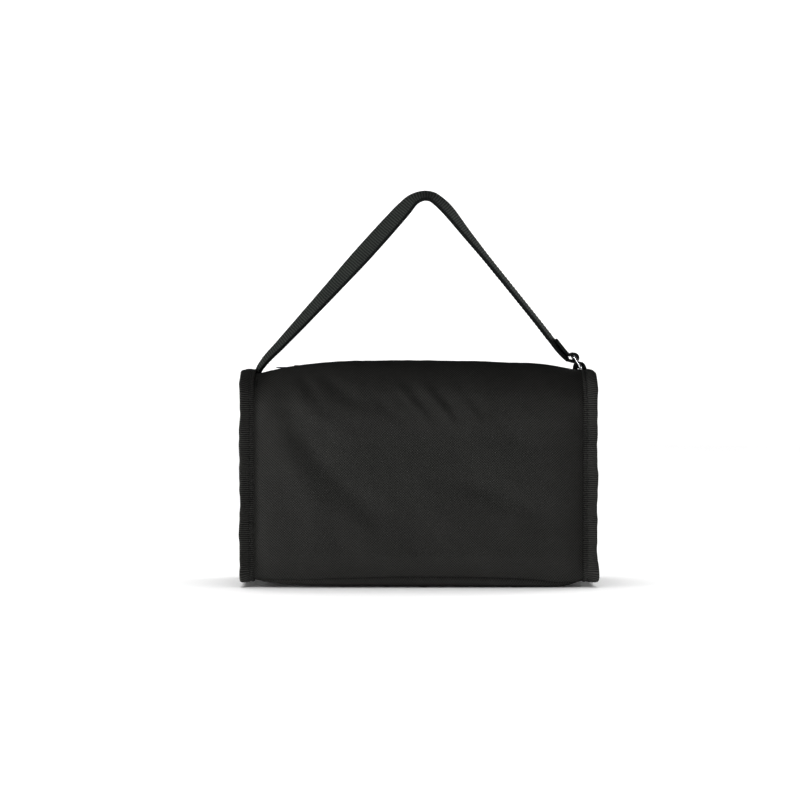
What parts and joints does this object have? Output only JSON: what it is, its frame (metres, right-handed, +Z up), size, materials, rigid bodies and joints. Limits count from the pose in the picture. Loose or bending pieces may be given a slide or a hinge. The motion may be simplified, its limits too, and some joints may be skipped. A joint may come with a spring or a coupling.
{
  "type": "film changing bag",
  "caption": "Film changing bag folded in its zipped box-shaped fabric case, with bound end seams, top flaps, metal ring and webbing carry strap.",
  "frame": {"origin": "on the floor under the centre of the case's flat base", "axes": "+X to the right seen from the front, -Y out of the front face, +Z up"},
  "size_m": [0.301, 0.102, 0.3315],
  "materials": {
    "binding_tape": "ribbed woven tape, matt",
    "strap_webbing": "woven webbing, slight sheen",
    "ring_metal": "nickel plated steel wire",
    "zip_metal": "black enamelled die-cast metal",
    "zip_coil": "black nylon coil",
    "zip_tape": "black woven zip tape",
    "foam": "thin dark foam sheet",
    "lining_fabric": "thin dark grey taffeta",
    "board": "black plastic sheet",
    "bag_fabric": "light-tight coated nylon, faint sheen",
    "elastic": "black ribbed elastic",
    "case_fabric": "matt black woven polyester"
  },
  "bodies": {
    "case": {"back_lining": "lining_fabric", "back_padding": "foam", "back_panel": "case_fabric", "base_board": "board", "bottom_lining": "lining_fabric", "bottom_panel": "case_fabric", "chamber_zip": "zip_tape", "folded_chamber": "bag_fabric", "front_lining": "lining_fabric", "front_padding": "foam", "front_panel": "case_fabric", "left_arm_sleeve": "bag_fabric", "left_elastic_cuff": "elastic", "left_end_binding": "binding_tape", "left_end_lining": "lining_fabric", "left_end_padding": "foam", "left_end_panel": "case_fabric", "left_strap_anchor": "strap_webbing", "left_top_end": "case_fabric", "left_zip_coil_end": "zip_coil", "left_zip_tape_end": "zip_tape", "right_arm_sleeve": "bag_fabric", "right_elastic_cuff": "elastic", "right_end_binding": "binding_tape", "right_end_lining": "lining_fabric", "right_end_padding": "foam", "right_end_panel": "case_fabric", "right_top_end": "case_fabric", "right_zip_coil_end": "zip_coil", "right_zip_tape_end": "zip_tape", "ring_tab": "strap_webbing", "tie_band": "elastic", "zip_end_stops": "zip_metal"},
    "front_flap": {"front_flap_panel": "case_fabric", "front_flap_lining": "lining_fabric", "front_zip_tape": "zip_tape", "front_zip_coil": "zip_coil"},
    "back_flap": {"back_flap_panel": "case_fabric", "back_flap_lining": "lining_fabric", "back_zip_tape": "zip_tape", "back_zip_coil": "zip_coil"},
    "zip_slider": {"zip_slider_body": "zip_metal"},
    "pull": {"zip_pull": "zip_metal"},
    "strap": {"carry_strap": "strap_webbing"},
    "ring": {"strap_ring": "ring_metal", "strap_end_loop": "strap_webbing"},
    "chamber_slider": {"chamber_zip_slider": "zip_metal"}
  },
  "joints": [
    {"name": "front_flap_fold", "type": "hinge", "parent": "case", "child": "front_flap", "pos_m": [0, -0.05, 0.15645], "axis": [1, 0, 0], "range_deg": [0, 110]},
    {"name": "back_flap_fold", "type": "hinge", "parent": "case", "child": "back_flap", "pos_m": [0, 0.05, 0.15645], "axis": [-1, 0, 0], "range_deg": [0, 110]},
    {"name": "zip_slide", "type": "slide", "parent": "case", "child": "zip_slider", "axis": [1, 0, 0], "range_m": [0, 0.208]},
    {"name": "pull_pivot", "type": "hinge", "parent": "zip_slider", "child": "pull", "pos_m": [-0.104, 0, 0.1844], "axis": [0, 1, 0], "range_deg": [0, 170]},
    {"name": "strap_swing", "type": "hinge", "parent": "case", "child": "strap", "pos_m": [0, 0, 0.1975], "axis": [1, 0, 0], "range_deg": [-70, 70]},
    {"name": "ring_pivot", "type": "hinge", "parent": "case", "child": "ring", "pos_m": [0.1383, 0, 0.1848], "axis": [0, 1, 0], "range_deg": [-8, 12]},
    {"name": "chamber_zip_slide", "type": "slide", "parent": "case", "child": "chamber_slider", "axis": [1, 0, 0], "range_m": [-0.04, 0.012]}
  ]
}
